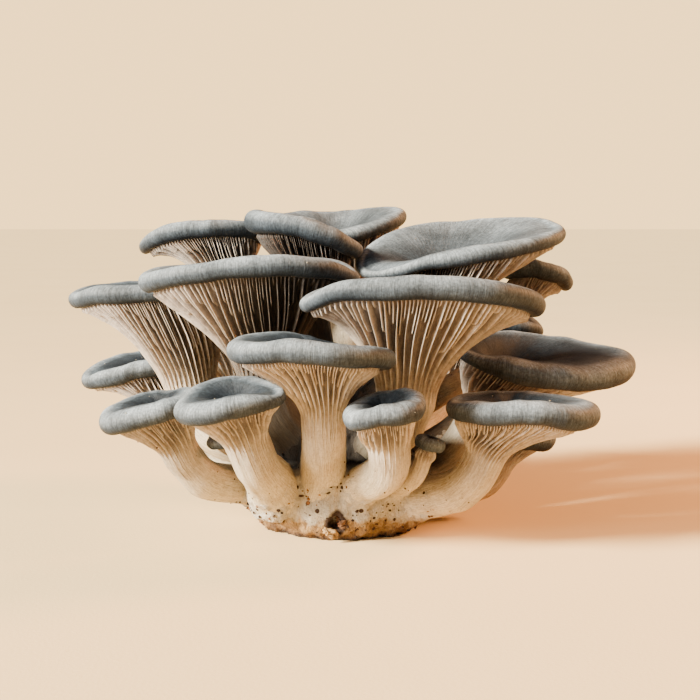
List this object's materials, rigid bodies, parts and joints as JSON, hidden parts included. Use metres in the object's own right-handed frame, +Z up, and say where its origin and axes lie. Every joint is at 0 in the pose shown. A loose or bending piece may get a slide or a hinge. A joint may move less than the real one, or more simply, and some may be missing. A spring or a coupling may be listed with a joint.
{
  "type": "oyster mushroom cluster",
  "caption": "Cluster of blue-grey oyster mushrooms with ribbed cream gills and rolled cap rims, grown from one flat-bottomed butt that it stands on.",
  "frame": {"origin": "centre of the butt's flat foot", "axes": "+Z up out of the foot, +X to the right and -Y towards the viewer when the cluster's tallest fan of caps is seen from its front"},
  "size_m": [0.1846, 0.1651, 0.1022],
  "materials": {
    "cap": "satin blue-grey skin with fine radial fibres",
    "stalk": "matt cream flesh, fibrous",
    "butt": "matt white felted threads with tan crust",
    "wood": "rough dark brown bark"
  },
  "bodies": {
    "root": {"butt": "butt", "wood_chip_front": "wood", "wood_chip_hollow": "wood", "wood_chip_flank": "wood", "stalk_front": "stalk", "cap_front": "cap", "stalk_front_small": "stalk", "cap_front_small": "cap", "stalk_left_curl": "stalk", "cap_left_curl": "cap", "stalk_left_low": "stalk", "cap_left_low": "cap", "stalk_right_low": "stalk", "cap_right_low": "cap", "stalk_centre_right": "stalk", "cap_centre_right": "cap", "stalk_centre_left": "stalk", "cap_centre_left": "cap", "stalk_left_wide": "stalk", "cap_left_wide": "cap", "stalk_left_back": "stalk", "cap_left_back": "cap", "stalk_top_left": "stalk", "cap_top_left": "cap", "stalk_top_middle": "stalk", "cap_top_middle": "cap", "stalk_top_back": "stalk", "cap_top_back": "cap", "stalk_top_right": "stalk", "cap_top_right": "cap", "stalk_top_far_right": "stalk", "cap_top_far_right": "cap", "stalk_right_back": "stalk", "cap_right_back": "cap", "stalk_right_wide": "stalk", "cap_right_wide": "cap", "stalk_right_tucked": "stalk", "cap_right_tucked": "cap", "stalk_button_right": "stalk", "cap_button_right": "cap", "stalk_button_left": "stalk", "cap_button_left": "cap", "stalk_back_left": "stalk", "cap_back_left": "cap", "stalk_back_middle": "stalk", "cap_back_middle": "cap", "stalk_back_right": "stalk", "cap_back_right": "cap", "stalk_back_low_left": "stalk", "cap_back_low_left": "cap", "stalk_back_low": "stalk", "cap_back_low": "cap", "stalk_back_low_right": "stalk", "cap_back_low_right": "cap"}
  },
  "joints": []
}
